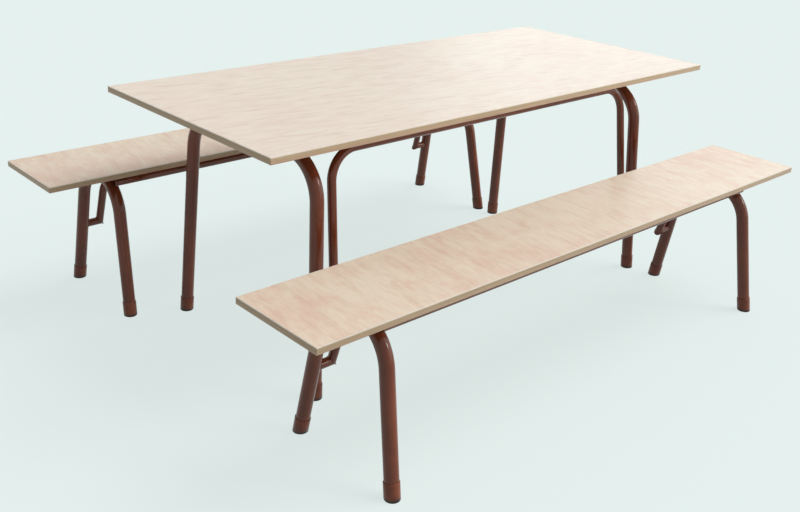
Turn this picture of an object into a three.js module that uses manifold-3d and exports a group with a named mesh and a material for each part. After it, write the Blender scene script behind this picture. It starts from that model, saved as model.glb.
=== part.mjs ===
// Canteen table with two loose benches: laminate boards on bent steel tube frames.
// Millimetres, +Z up, +X along the boards, +Y to the back.
// The origin lies on the floor, at the middle of the whole set.

import * as THREE from 'three';
import { mergeVertices } from 'three/addons/utils/BufferGeometryUtils.js';
import Module from 'manifold-3d';

const wasm = await Module();
wasm.setup();

// Table sizes
const TABLE_LENGTH = 1800;
const TABLE_WIDTH = 800;
const TABLE_HEIGHT = 740;
const TABLE_LEG_END_INSET = 220; // board end to leg axis, at the board's underside
const TABLE_LEG_SIDE_INSET = 110; // long edge to leg axis, at the board's underside
const TABLE_FOOT_SPREAD_LENGTHWISE = 42; // how far a foot stands out from that point
const TABLE_FOOT_SPREAD_CROSSWISE = 48;
const TABLE_RAIL_DEPTH = 40;
const TABLE_RAIL_WIDTH = 20;
const TABLE_RAIL_WALL = 2;
const TABLE_RAIL_INSET = 235; // long edge to the middle of the rail
const TABLE_RAIL_OVERHANG = 15; // how far a rail runs past the leg frame
const TABLE_BRACE_CLEARANCE = 38; // board underside to the top of the brace
const TABLE_STUB_HEIGHT = 330; // floor to stub axis

// Bench sizes
const BENCH_LENGTH = 2000;
const BENCH_WIDTH = 300;
const BENCH_HEIGHT = 460;
const BENCH_LEG_END_INSET = 230;
const BENCH_LEG_SIDE_INSET = 50;
const BENCH_FOOT_SPREAD_LENGTHWISE = 27;
const BENCH_FOOT_SPREAD_CROSSWISE = 80;
const BENCH_RAIL_DIAMETER = 25;
const BENCH_RAIL_WALL = 1.5;
const BENCH_RAIL_INSET = 53; // long edge to rail axis
const BENCH_RAIL_OVERHANG = 5; // past the middle of the leg frame
const BEARER_WIDTH = 40;
const BEARER_THICKNESS = 8;
const BEARER_END_INSET = 22; // long edge to the bearer's end
const BENCH_BRACE_CLEARANCE = 41;
const BENCH_STUB_HEIGHT = 200;

// Sizes that all three share
const BOARD_THICKNESS = 18;
const EDGE_BAND = 2;
const EDGE_ROUND = 1.2;
const LEG_DIAMETER = 38;
const LEG_WALL = 2;
const KNEE_RADIUS = 120; // to the tube's axis
const BRACE_DIAMETER = 25;
const BRACE_WALL = 1.5;
const BRACE_BEND_RADIUS = 85;
const BRACE_TO_LEG = 28; // clear space between a brace upright and its leg
const BRACE_SET_BACK = 20; // how far the brace leans in from the legs, from stub to run
const FOOT_WALL = 1.5;
const FOOT_HEIGHT = 45;
const FOOT_SOLE = 3; // least thickness under the tube
const FOOT_ROUND = 1;

// How the benches stand beside the table
const FRONT_BENCH_GAP = 70; // between the long edges, seen from above
const FRONT_BENCH_SHIFT = -50; // along the table, from its middle
const BACK_BENCH_GAP = 40;
const BACK_BENCH_SHIFT = -85;

// Clearance between pieces that touch, and how round the tubes are
const CLEARANCE = 0.3;
const LEG_SIDES = 16;
const BRACE_SIDES = 12;
const BORE_SIDES = 8;
const COPE_SIDES = 32;
const FOOT_SIDES = 16;
const BEND_STEPS = 6;
const ROUND_STEPS = 3;
const WELD_TOLERANCE = 1e-4;

const FRONT = -1;
const BACK = 1;
const SIDE_NAMES = new Map([[FRONT, 'front'], [BACK, 'back']]);
const END_NAMES = new Map([[-1, 'left'], [1, 'right']]);
const UP = new THREE.Vector3(0, 0, 1);
const ALONG = new THREE.Vector3(1, 0, 0);

const laminate = () => new THREE.MeshStandardMaterial({ color: 0xe3cfbc, roughness: 0.45 });
const edgeBand = () => new THREE.MeshStandardMaterial({ color: 0xbba98c, roughness: 0.5 });
const paintedSteel = () => new THREE.MeshStandardMaterial({ color: 0x67412c, roughness: 0.3 });
const footPlastic = () => new THREE.MeshStandardMaterial({ color: 0x56351f, roughness: 0.5 });

const table = {
  name: 'table',
  board: 'top',
  length: TABLE_LENGTH,
  width: TABLE_WIDTH,
  underside: TABLE_HEIGHT - BOARD_THICKNESS,
  legEndInset: TABLE_LEG_END_INSET,
  legSideInset: TABLE_LEG_SIDE_INSET,
  footSpread: new THREE.Vector2(TABLE_FOOT_SPREAD_LENGTHWISE, TABLE_FOOT_SPREAD_CROSSWISE),
  carrierDepth: CLEARANCE + TABLE_RAIL_DEPTH + CLEARANCE,
  braceSide: FRONT,
  braceDrop: TABLE_BRACE_CLEARANCE + BRACE_DIAMETER / 2,
  stubHeight: TABLE_STUB_HEIGHT,
};

const bench = {
  board: 'seat',
  length: BENCH_LENGTH,
  width: BENCH_WIDTH,
  underside: BENCH_HEIGHT - BOARD_THICKNESS,
  legEndInset: BENCH_LEG_END_INSET,
  legSideInset: BENCH_LEG_SIDE_INSET,
  footSpread: new THREE.Vector2(BENCH_FOOT_SPREAD_LENGTHWISE, BENCH_FOOT_SPREAD_CROSSWISE),
  carrierDepth: CLEARANCE + BEARER_THICKNESS + CLEARANCE,
  braceSide: BACK,
  braceDrop: BENCH_BRACE_CLEARANCE + BRACE_DIAMETER / 2,
  stubHeight: BENCH_STUB_HEIGHT,
};

// The arc that rounds off a corner. It never takes more than half of the shorter run beside it.
function bendAt(before, corner, after, bendRadius) {
  const arriving = corner.clone().sub(before).normalize();
  const leaving = after.clone().sub(corner).normalize();
  const turn = arriving.angleTo(leaving);
  const shorterRun = Math.min(corner.distanceTo(before), corner.distanceTo(after));
  const radius = Math.min(bendRadius, (0.49 * shorterRun) / Math.tan(turn / 2));
  const start = corner.clone().addScaledVector(arriving, -radius * Math.tan(turn / 2));
  const axis = arriving.clone().cross(leaving).normalize();
  const centre = start.clone().addScaledVector(axis.clone().cross(arriving), radius);
  return { arriving, turn, radius, start, axis, centre };
}

// The centre line of a bent tube: straight runs joined by circular bends.
// It has a station at each end and a few round each bend, where the section needs one.
class BentTubeRoute extends THREE.Curve {
  constructor(corners, bendRadius) {
    super();
    this.stations = [];
    const last = corners.length - 1;
    const direction = (i) => corners[i + 1].clone().sub(corners[i]).normalize();
    this.addStation(corners[0], direction(0));
    for (let i = 1; i < last; i += 1) {
      this.addBend(corners[i - 1], corners[i], corners[i + 1], bendRadius);
    }
    this.addStation(corners[last], direction(last - 1));
  }

  addStation(point, tangent) {
    this.stations.push({ point: point.clone(), tangent: tangent.clone().normalize() });
  }

  addBend(before, corner, after, bendRadius) {
    const { arriving, turn, start, axis, centre } = bendAt(before, corner, after, bendRadius);
    for (let step = 0; step <= BEND_STEPS; step += 1) {
      const angle = (turn * step) / BEND_STEPS;
      const point = start.clone().sub(centre).applyAxisAngle(axis, angle).add(centre);
      this.addStation(point, arriving.clone().applyAxisAngle(axis, angle));
    }
  }

  get steps() {
    return this.stations.length - 1;
  }

  stationAt(share) {
    return this.stations[Math.round(share * this.steps)];
  }

  getPointAt(share, target = new THREE.Vector3()) {
    return target.copy(this.stationAt(share).point);
  }

  getTangentAt(share, target = new THREE.Vector3()) {
    return target.copy(this.stationAt(share).tangent);
  }
}

function circlePoints(radius, sides) {
  return Array.from({ length: sides }, (_, i) => {
    const angle = (2 * Math.PI * i) / sides;
    return new THREE.Vector2(radius * Math.cos(angle), radius * Math.sin(angle));
  });
}

function tubeAlong(route, diameter, wall, sides) {
  const section = new THREE.Shape(circlePoints(diameter / 2, sides));
  section.holes.push(new THREE.Path(circlePoints(diameter / 2 - wall, BORE_SIDES)));
  return new THREE.ExtrudeGeometry(section, { steps: route.steps, extrudePath: route });
}

function solidOf(geometry) {
  const bare = geometry.clone();
  bare.deleteAttribute('normal');
  bare.deleteAttribute('uv');
  const welded = mergeVertices(bare, WELD_TOLERANCE);
  const corners = welded.index.array;
  const triangles = [];
  for (let i = 0; i < corners.length; i += 3) {
    const [a, b, c] = corners.slice(i, i + 3);
    if (a !== b && b !== c && c !== a) {
      triangles.push(a, b, c);
    }
  }
  return new wasm.Manifold(new wasm.Mesh({
    numProp: 3,
    vertProperties: new Float32Array(welded.attributes.position.array),
    triVerts: new Uint32Array(triangles),
  }));
}

function geometryOf(solid) {
  const mesh = solid.getMesh();
  const geometry = new THREE.BufferGeometry();
  geometry.setAttribute('position', new THREE.BufferAttribute(mesh.vertProperties, 3));
  geometry.setIndex(new THREE.BufferAttribute(mesh.triVerts, 1));
  geometry.computeVertexNormals();
  return geometry;
}

function cutAway(geometry, ...cutters) {
  const solid = cutters.reduce((rest, cutter) => rest.subtract(solidOf(cutter)), solidOf(geometry));
  return geometryOf(solid);
}

// A block that fills the space behind a plane, on the side its normal points away from.
function blockBehind(point, normal, size) {
  const block = new THREE.BoxGeometry(size, size, size);
  block.translate(0, 0, -size / 2);
  block.applyQuaternion(new THREE.Quaternion().setFromUnitVectors(UP, normal));
  return block.translate(point.x, point.y, point.z);
}

function addPiece(group, name, geometry, material) {
  const mesh = new THREE.Mesh(geometry, material);
  mesh.name = name;
  group.add(mesh);
  return mesh;
}

// Boards: a core panel with a thin band glued on each edge.
function edgeBandProfile() {
  const profile = new THREE.Shape();
  const flat = EDGE_BAND - EDGE_ROUND;
  profile.moveTo(0, 0);
  profile.lineTo(flat, 0);
  profile.absarc(flat, EDGE_ROUND, EDGE_ROUND, -Math.PI / 2, 0);
  profile.absarc(flat, BOARD_THICKNESS - EDGE_ROUND, EDGE_ROUND, 0, Math.PI / 2);
  profile.lineTo(0, BOARD_THICKNESS);
  return profile;
}

function addEdgeBand(group, name, outward, reach, length, underside) {
  const geometry = new THREE.ExtrudeGeometry(edgeBandProfile(), {
    depth: length,
    bevelEnabled: false,
    curveSegments: ROUND_STEPS,
  });
  geometry.translate(0, 0, -length / 2);
  const band = addPiece(group, name, geometry, edgeBand());
  const along = outward.clone().cross(UP);
  band.setRotationFromMatrix(new THREE.Matrix4().makeBasis(outward, UP, along));
  band.position.copy(outward).multiplyScalar(reach - EDGE_BAND);
  band.position.z = underside;
}

function addBoard(group, item) {
  const border = 2 * (EDGE_BAND + CLEARANCE);
  const coreLength = item.length - border;
  const coreWidth = item.width - border;
  const core = new THREE.BoxGeometry(coreLength, coreWidth, BOARD_THICKNESS);
  const board = addPiece(group, `${item.name}_${item.board}`, core, laminate());
  board.position.z = item.underside + BOARD_THICKNESS / 2;
  for (const [side, sideName] of SIDE_NAMES) {
    const outward = new THREE.Vector3(0, side, 0);
    addEdgeBand(group, `${item.name}_edge_${sideName}`, outward, item.width / 2, item.length, item.underside);
  }
  for (const [end, endName] of END_NAMES) {
    const outward = new THREE.Vector3(end, 0, 0);
    addEdgeBand(group, `${item.name}_edge_${endName}`, outward, item.length / 2, coreWidth, item.underside);
  }
}

// A point on a leg's axis at a height. The legs lean out evenly, so both spreads grow as it comes down.
function legPoint(item, end, side, height) {
  const lean = (item.underside - height) / item.underside;
  return new THREE.Vector3(
    end * (item.length / 2 - item.legEndInset + item.footSpread.x * lean),
    side * (item.width / 2 - item.legSideInset + item.footSpread.y * lean),
    height,
  );
}

function legDirection(item, end, side) {
  return legPoint(item, end, side, item.underside).sub(legPoint(item, end, side, 0)).normalize();
}

const footRadius = LEG_DIAMETER / 2 + CLEARANCE + FOOT_WALL;

// Where the tube seats in its foot, measured up the leg's axis from the floor.
// The sole follows the floor while the seat is square to the leg, so the lean adds to it.
function footSeat(item, end, side) {
  const lean = legDirection(item, end, side).angleTo(UP);
  return FOOT_SOLE + footRadius * Math.tan(lean);
}

function topBarHeight(item) {
  return item.underside - item.carrierDepth - LEG_DIAMETER / 2;
}

function legFrameCorners(item, end) {
  const tubeEnd = (side) => legPoint(item, end, side, 0)
    .addScaledVector(legDirection(item, end, side), footSeat(item, end, side) + CLEARANCE);
  const knee = (side) => legPoint(item, end, side, topBarHeight(item));
  return [tubeEnd(FRONT), knee(FRONT), knee(BACK), tubeEnd(BACK)];
}

function addLegFrame(group, item, end) {
  const route = new BentTubeRoute(legFrameCorners(item, end), KNEE_RADIUS);
  const tube = tubeAlong(route, LEG_DIAMETER, LEG_WALL, LEG_SIDES);
  addPiece(group, `${item.name}_leg_frame_${END_NAMES.get(end)}`, tube, paintedSteel());
}

// A foot is a turned cap over the end of the leg, cut flat where it meets the floor.
function addFoot(group, item, end, side) {
  const direction = legDirection(item, end, side);
  const seat = footSeat(item, end, side);
  const bore = LEG_DIAMETER / 2 + CLEARANCE;
  const profile = [
    new THREE.Vector2(0, -seat),
    new THREE.Vector2(footRadius, -seat),
    new THREE.Vector2(footRadius, FOOT_HEIGHT - FOOT_ROUND),
    new THREE.Vector2(footRadius - FOOT_ROUND, FOOT_HEIGHT),
    new THREE.Vector2(bore, FOOT_HEIGHT),
    new THREE.Vector2(bore, seat),
    new THREE.Vector2(0, seat),
  ];
  const cap = new THREE.LatheGeometry(profile, FOOT_SIDES);
  const turnedUp = new THREE.Vector3(0, 1, 0);
  cap.applyQuaternion(new THREE.Quaternion().setFromUnitVectors(turnedUp, direction));
  const floorPoint = legPoint(item, end, side, 0);
  cap.translate(floorPoint.x, floorPoint.y, floorPoint.z);
  const foot = cutAway(cap, blockBehind(floorPoint, UP, 4 * footRadius));
  const name = `${item.name}_foot_${SIDE_NAMES.get(side)}_${END_NAMES.get(end)}`;
  addPiece(group, name, foot, footPlastic());
}

function braceRunHeight(item) {
  return item.underside - item.braceDrop;
}

// The brace stands beside the two legs of one long side. It is level with their axes at the stubs,
// and leans in from there, towards the middle of the board.
function bracePoint(item, end, height) {
  const spacing = LEG_DIAMETER / 2 + BRACE_TO_LEG + BRACE_DIAMETER / 2;
  const rise = (height - item.stubHeight) / (braceRunHeight(item) - item.stubHeight);
  const point = legPoint(item, end, item.braceSide, height).addScaledVector(ALONG, -end * spacing);
  point.y -= item.braceSide * BRACE_SET_BACK * rise;
  return point;
}

function uprightDirection(item, end) {
  return bracePoint(item, end, braceRunHeight(item)).sub(bracePoint(item, end, item.stubHeight)).normalize();
}

// The mitre between an upright and its stub halves the angle between the two tubes.
function mitreNormal(item, end) {
  return uprightDirection(item, end).addScaledVector(ALONG, -end).normalize();
}

function mitreBlock(item, end, keptSide) {
  const normal = mitreNormal(item, end).multiplyScalar(keptSide);
  const point = bracePoint(item, end, item.stubHeight).addScaledVector(normal, CLEARANCE / 2);
  return blockBehind(point, normal, 4 * BRACE_DIAMETER);
}

function addBrace(group, item) {
  const runHeight = braceRunHeight(item);
  const lowEnd = (end) => bracePoint(item, end, item.stubHeight)
    .addScaledVector(uprightDirection(item, end), -BRACE_DIAMETER);
  const corners = [lowEnd(-1), bracePoint(item, -1, runHeight), bracePoint(item, 1, runHeight), lowEnd(1)];
  const route = new BentTubeRoute(corners, BRACE_BEND_RADIUS);
  const tube = tubeAlong(route, BRACE_DIAMETER, BRACE_WALL, BRACE_SIDES);
  const brace = cutAway(tube, mitreBlock(item, -1, 1), mitreBlock(item, 1, 1));
  addPiece(group, `${item.name}_brace`, brace, paintedSteel());
}

// A stub is mitred to the brace at one end and coped round the leg at the other.
function addStub(group, item, end) {
  const legSide = legPoint(item, end, item.braceSide, item.stubHeight);
  const braceSide = bracePoint(item, end, item.stubHeight).addScaledVector(ALONG, -end * BRACE_DIAMETER);
  const route = new BentTubeRoute([braceSide, legSide], 0);
  const tube = tubeAlong(route, BRACE_DIAMETER, BRACE_WALL, BRACE_SIDES);
  const copeRadius = LEG_DIAMETER / 2 + CLEARANCE;
  const cope = new THREE.CylinderGeometry(copeRadius, copeRadius, 4 * BRACE_DIAMETER, COPE_SIDES);
  const turnedUp = new THREE.Vector3(0, 1, 0);
  const lean = legDirection(item, end, item.braceSide);
  cope.applyQuaternion(new THREE.Quaternion().setFromUnitVectors(turnedUp, lean));
  cope.translate(legSide.x, legSide.y, legSide.z);
  const stub = cutAway(tube, mitreBlock(item, end, -1), cope);
  addPiece(group, `${item.name}_brace_stub_${END_NAMES.get(end)}`, stub, paintedSteel());
}

function topBarReach(item) {
  return legPoint(item, 1, BACK, topBarHeight(item)).x;
}

// Table rails: rectangular tubes on edge, between the board and the two leg frames.
function addTableRail(group, side) {
  const outline = new THREE.Shape();
  const halfWidth = TABLE_RAIL_WIDTH / 2;
  const halfDepth = TABLE_RAIL_DEPTH / 2;
  outline.moveTo(-halfWidth, -halfDepth);
  outline.lineTo(halfWidth, -halfDepth);
  outline.lineTo(halfWidth, halfDepth);
  outline.lineTo(-halfWidth, halfDepth);
  const bore = new THREE.Path();
  bore.moveTo(TABLE_RAIL_WALL - halfWidth, TABLE_RAIL_WALL - halfDepth);
  bore.lineTo(TABLE_RAIL_WALL - halfWidth, halfDepth - TABLE_RAIL_WALL);
  bore.lineTo(halfWidth - TABLE_RAIL_WALL, halfDepth - TABLE_RAIL_WALL);
  bore.lineTo(halfWidth - TABLE_RAIL_WALL, TABLE_RAIL_WALL - halfDepth);
  outline.holes.push(bore);
  const halfLength = topBarReach(table) + LEG_DIAMETER / 2 + TABLE_RAIL_OVERHANG;
  const geometry = new THREE.ExtrudeGeometry(outline, { depth: 2 * halfLength, bevelEnabled: false });
  geometry.translate(0, 0, -halfLength);
  const rail = addPiece(group, `table_rail_${SIDE_NAMES.get(side)}`, geometry, paintedSteel());
  const across = new THREE.Vector3(0, 1, 0);
  rail.setRotationFromMatrix(new THREE.Matrix4().makeBasis(across, UP, ALONG));
  rail.position.y = side * (TABLE_WIDTH / 2 - TABLE_RAIL_INSET);
  rail.position.z = table.underside - CLEARANCE - halfDepth;
}

// Where a rail lies on the rounded shoulders of the leg frames: the height of its axis.
// A bend is built of flats, and the rail rests on one of them.
function benchRailHeight(item) {
  const [foot, knee, farKnee] = legFrameCorners(item, 1);
  const { turn, radius, centre } = bendAt(foot, knee, farKnee, KNEE_RADIUS);
  const shoulder = (radius + LEG_DIAMETER / 2) * Math.cos(turn / 2 / BEND_STEPS);
  const reach = shoulder + CLEARANCE + BENCH_RAIL_DIAMETER / 2;
  const across = item.width / 2 - BENCH_RAIL_INSET - Math.abs(centre.y);
  return centre.z + Math.sqrt(reach ** 2 - across ** 2);
}

// Bench rails: thin round tubes near the long edges. They end on the leg frames.
function addBenchRail(group, item, side) {
  const reach = topBarReach(item) + BENCH_RAIL_OVERHANG;
  const inset = side * (item.width / 2 - BENCH_RAIL_INSET);
  const height = benchRailHeight(item);
  const route = new BentTubeRoute([
    new THREE.Vector3(-reach, inset, height),
    new THREE.Vector3(reach, inset, height),
  ], 0);
  const tube = tubeAlong(route, BENCH_RAIL_DIAMETER, BENCH_RAIL_WALL, BRACE_SIDES);
  addPiece(group, `${item.name}_rail_${SIDE_NAMES.get(side)}`, tube, paintedSteel());
}

// A bearer is a flat bar under the board, across the crown of a leg frame. Its ends are round in plan.
function addBearer(group, item, end) {
  const halfLength = item.width / 2 - BEARER_END_INSET;
  const halfWidth = BEARER_WIDTH / 2;
  const outline = new THREE.Shape();
  outline.absarc(0, halfLength - halfWidth, halfWidth, 0, Math.PI);
  outline.absarc(0, halfWidth - halfLength, halfWidth, Math.PI, 2 * Math.PI);
  const bar = new THREE.ExtrudeGeometry(outline, {
    depth: BEARER_THICKNESS,
    bevelEnabled: false,
    curveSegments: BEND_STEPS,
  });
  const bearer = addPiece(group, `${item.name}_bearer_${END_NAMES.get(end)}`, bar, paintedSteel());
  bearer.position.x = end * topBarReach(item);
  bearer.position.z = topBarHeight(item) + LEG_DIAMETER / 2 + CLEARANCE;
}

function addFrame(group, item) {
  for (const end of END_NAMES.keys()) {
    addLegFrame(group, item, end);
    addStub(group, item, end);
    for (const side of SIDE_NAMES.keys()) {
      addFoot(group, item, end, side);
    }
  }
  addBrace(group, item);
}

function makeTable() {
  const group = new THREE.Group();
  addBoard(group, table);
  addFrame(group, table);
  for (const side of SIDE_NAMES.keys()) {
    addTableRail(group, side);
  }
  return group;
}

function makeBench(name) {
  const group = new THREE.Group();
  const item = { ...bench, name };
  addBoard(group, item);
  addFrame(group, item);
  for (const side of SIDE_NAMES.keys()) {
    addBenchRail(group, item, side);
  }
  for (const end of END_NAMES.keys()) {
    addBearer(group, item, end);
  }
  return group;
}

// Places seen from the table's middle, and then from the middle of the set.
const frontBenchPlace = new THREE.Vector2(
  FRONT_BENCH_SHIFT,
  -(TABLE_WIDTH / 2 + FRONT_BENCH_GAP + BENCH_WIDTH / 2),
);
const backBenchPlace = new THREE.Vector2(
  BACK_BENCH_SHIFT,
  TABLE_WIDTH / 2 + BACK_BENCH_GAP + BENCH_WIDTH / 2,
);
const benchShifts = [FRONT_BENCH_SHIFT, BACK_BENCH_SHIFT];
const leftmost = Math.min(-TABLE_LENGTH / 2, Math.min(...benchShifts) - BENCH_LENGTH / 2);
const rightmost = Math.max(TABLE_LENGTH / 2, Math.max(...benchShifts) + BENCH_LENGTH / 2);
const setMiddle = new THREE.Vector2(
  (leftmost + rightmost) / 2,
  (frontBenchPlace.y + backBenchPlace.y) / 2,
);

function placeInSet(group, place) {
  group.position.set(place.x - setMiddle.x, place.y - setMiddle.y, 0);
  return group;
}

const diningSet = new THREE.Group();
diningSet.add(placeInSet(makeTable(), new THREE.Vector2(0, 0)));
diningSet.add(placeInSet(makeBench('front_bench'), frontBenchPlace));
diningSet.add(placeInSet(makeBench('back_bench'), backBenchPlace));

export default diningSet;
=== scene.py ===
# %% [markdown]
# # A canteen table with two loose benches
# A long laminate table and two matching benches stand on brown steel tube frames. The solids of the
# construction are loaded first, as a fixed frame. Every piece below sits where its solid sits, and
# gives it the smooth bends, rounded edges and finishes that the plain solid lacks.

# %% Load the frame
import math

import bmesh
import bpy
from mathutils import Matrix, Vector


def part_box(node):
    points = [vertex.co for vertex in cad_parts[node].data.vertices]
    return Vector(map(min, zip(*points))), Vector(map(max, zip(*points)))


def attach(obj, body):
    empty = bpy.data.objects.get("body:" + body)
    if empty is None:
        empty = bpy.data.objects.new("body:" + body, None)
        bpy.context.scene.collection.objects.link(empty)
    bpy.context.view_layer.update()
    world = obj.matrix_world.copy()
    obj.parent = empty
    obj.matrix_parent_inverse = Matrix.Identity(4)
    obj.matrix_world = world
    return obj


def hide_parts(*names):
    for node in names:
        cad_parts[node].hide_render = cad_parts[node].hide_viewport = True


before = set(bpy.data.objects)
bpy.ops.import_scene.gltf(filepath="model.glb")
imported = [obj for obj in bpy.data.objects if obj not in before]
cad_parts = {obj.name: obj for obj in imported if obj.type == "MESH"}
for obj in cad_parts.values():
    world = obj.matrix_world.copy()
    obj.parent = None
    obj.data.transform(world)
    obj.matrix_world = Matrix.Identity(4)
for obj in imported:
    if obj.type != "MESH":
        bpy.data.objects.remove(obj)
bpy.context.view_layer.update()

# %% [markdown]
# ## The camera
# The view is from the front left, a little above head height when seated. A camera fitted to the
# corners of the three boards and to their feet gave its place, its turn and its focal length. It goes
# in first.

# %% Camera
CAMERA_PLACE = (-2.0344, -2.1171, 1.4323)
CAMERA_TURN = (1.1543, -0.0404, -0.7340)
FOCAL_LENGTH_MM = 43.12
SENSOR_WIDTH_MM = 36.0

camera_data = bpy.data.cameras.new("camera")
camera_data.lens = FOCAL_LENGTH_MM
camera_data.sensor_fit = "HORIZONTAL"
camera_data.sensor_width = SENSOR_WIDTH_MM
camera = bpy.data.objects.new("camera", camera_data)
camera.location = CAMERA_PLACE
camera.rotation_euler = CAMERA_TURN
bpy.context.scene.collection.objects.link(camera)
bpy.context.scene.camera = camera
print("camera:", FOCAL_LENGTH_MM, "mm lens")

# %% [markdown]
# ## Shader maths in plain Python
# A finish is a small network of nodes. Drawing it by hand is slow to read, so one class wraps a node's
# output and lets ordinary operators add the Math nodes. A second class holds the network and adds any
# other node from its type, its settings and the values or links of its sockets. A third is a network
# that belongs to one material.

# %% Values and networks
MIX_COLOUR_INPUTS = (0, 6, 7)  # a Mix node also has sockets for numbers and vectors
MIX_COLOUR_OUTPUT = 2


class Value:
    """A number that changes over a surface: the output of a node."""

    def __init__(self, network, socket):
        self.network = network
        self.socket = socket

    def maths(self, operation, *terms):
        return self.network.add("ShaderNodeMath", {"operation": operation}, *terms)

    def __add__(self, other):
        return self.maths("ADD", self, other)

    def __sub__(self, other):
        return self.maths("SUBTRACT", self, other)

    def __rsub__(self, other):
        return self.maths("SUBTRACT", other, self)

    def __mul__(self, other):
        return self.maths("MULTIPLY", self, other)

    def __truediv__(self, other):
        return self.maths("DIVIDE", self, other)

    def larger(self, other):
        return self.maths("MAXIMUM", self, other)

    def between(self, low, high):
        """0 below low, 1 above high and a smooth rise in between."""
        settings = {"interpolation_type": "SMOOTHSTEP"}
        return self.network.add("ShaderNodeMapRange", settings, self, low, high, 0.0, 1.0)


class Network:
    """The shader nodes of a material or of the sky."""

    def __init__(self, tree):
        self.nodes, self.links = tree.nodes, tree.links

    def feed(self, socket, value):
        if isinstance(value, Value):
            self.links.new(value.socket, socket)
        else:
            socket.default_value = value

    def add_node(self, kind, settings, *values, **named):
        node = self.nodes.new(kind)
        for key, setting in settings.items():
            setattr(node, key, setting)
        for socket, value in zip(node.inputs, values):
            self.feed(socket, value)
        for key, value in named.items():
            self.feed(node.inputs[key.replace("_", " ")], value)
        return node

    def add(self, kind, settings, *values, output=0, **named):
        return Value(self, self.add_node(kind, settings, *values, **named).outputs[output])

    def mix(self, share, first, second):
        """A colour between two colours."""
        node = self.add_node("ShaderNodeMix", {"data_type": "RGBA"})
        for index, value in zip(MIX_COLOUR_INPUTS, (share, first, second)):
            self.feed(node.inputs[index], value)
        return Value(self, node.outputs[MIX_COLOUR_OUTPUT])

    def looked_at(self):
        """1 for a ray that looks at the surface, directly or by way of metal or glass, and 0 for one that
        only gathers light from it."""
        rays = self.nodes.new("ShaderNodeLightPath")
        seen, mirrored, through = (Value(self, rays.outputs[f"Is {kind} Ray"])
                                   for kind in ("Camera", "Glossy", "Transmission"))
        return seen.larger(mirrored).larger(through)

    def show(self, share, first, second):
        """Ends the network in a blend of two shader nodes."""
        blend = self.add_node("ShaderNodeMixShader", {}, share)
        for socket, node in zip(blend.inputs[1:], (first, second)):
            self.links.new(node.outputs[0], socket)
        output = next(node for node in self.nodes if "Output" in node.bl_idname)
        self.links.new(blend.outputs[0], output.inputs["Surface"])


print("shader classes:", Value.__name__, "and", Network.__name__)

# %% Finishes and colours
class Finish(Network):
    """One material: its main shader, and the nodes that feed it."""

    def __init__(self, name):
        self.material = bpy.data.materials.new(name)
        self.material.use_nodes = True
        super().__init__(self.material.node_tree)
        self.shader = self.nodes["Principled BSDF"]
        self.place = self.add("ShaderNodeTexCoord", {}, output="Object")
        self.z = self.add("ShaderNodeSeparateXYZ", {}, self.place, output="Z")

    def noise(self, stretch, detail=3.0, roughness=0.5, turn=0.0, shift=(0.0, 0.0, 0.0)):
        """Cloudy values from 0 to 1. Stretch is how many clouds there are to a metre along X, Y and Z,
        after the axes have turned about Z."""
        size = tuple(1 / count for count in stretch)
        placed = self.add("ShaderNodeMapping", {"vector_type": "TEXTURE"}, self.place, Location=shift,
                          Rotation=(0.0, 0.0, turn), Scale=size)
        return self.add("ShaderNodeTexNoise", {}, placed, Scale=1.0, Detail=detail, Roughness=roughness)

    def bump(self, height, distance, strength):
        node = self.add_node("ShaderNodeBump", {}, Height=height, Distance=distance, Strength=strength)
        self.links.new(node.outputs["Normal"], self.shader.inputs["Normal"])

    def set(self, **sockets):
        for key, value in sockets.items():
            self.feed(self.shader.inputs[key.replace("_", " ")], value)


def srgb(red, green, blue):
    """A colour as it looks on screen, from 0 to 255, turned into the linear numbers that shaders use."""
    def linear(level):
        share = level / 255
        return share / 12.92 if share <= 0.04045 else ((share + 0.055) / 1.055) ** 2.4
    return (linear(red), linear(green), linear(blue), 1.0)


print("middle grey on screen is", round(srgb(128, 128, 128)[0], 3), "to a shader")

# %% [markdown]
# ## Laminate with a pale wood figure
# The boards are faced with a printed laminate: pale maple, mottled in cream and pink, with short faint
# streaks. On the table the figure runs nearly along the board, on the benches across it. Each layer is
# noise stretched to the scale of what it stands for. The sheen comes from the shader, and it varies a
# little with the grain.

# %% Laminate
TABLE_FIGURE_TURN = math.radians(-8)
BENCH_FIGURE_TURN = math.radians(84)


def laminate(name, cream, pink, brown, figured, turn, shift):
    finish = Finish(name)
    clouds = finish.noise((3.0, 2.2, 1.0), detail=3.0, turn=turn, shift=shift)
    mottle = finish.noise((14.0, 26.0, 1.0), detail=6.0, roughness=0.65, turn=turn, shift=shift)
    figure = finish.noise((9.0, 62.0, 1.0), detail=4.0, roughness=0.65, turn=turn, shift=shift)
    grain = finish.noise((16.0, 260.0, 1.0), detail=3.0, roughness=0.6, turn=turn, shift=shift)
    base = finish.mix((mottle * 0.6 + clouds * 0.4).between(0.38, 0.64), cream, pink)
    streaks = (figure.between(0.46, 0.72) * 0.6 + grain.between(0.5, 0.72) * 0.4) * figured
    finish.set(Base_Color=finish.mix(streaks, base, brown))
    finish.set(Roughness=grain * 0.12 + mottle * 0.08 + 0.24, Specular_IOR_Level=0.14)
    finish.bump(grain, 0.00008, 0.5)
    return finish.material


table_laminate = laminate("table_laminate", srgb(240, 229, 214), srgb(238, 221, 208), srgb(216, 193, 174),
                          0.8, TABLE_FIGURE_TURN, (0.0, 0.0, 0.0))
bench_laminate = laminate("bench_laminate", srgb(243, 229, 208), srgb(235, 207, 188), srgb(210, 172, 146),
                          0.45, BENCH_FIGURE_TURN, (5.3, 3.1, 0.0))
print("laminate:", table_laminate.name, bench_laminate.name)
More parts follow.
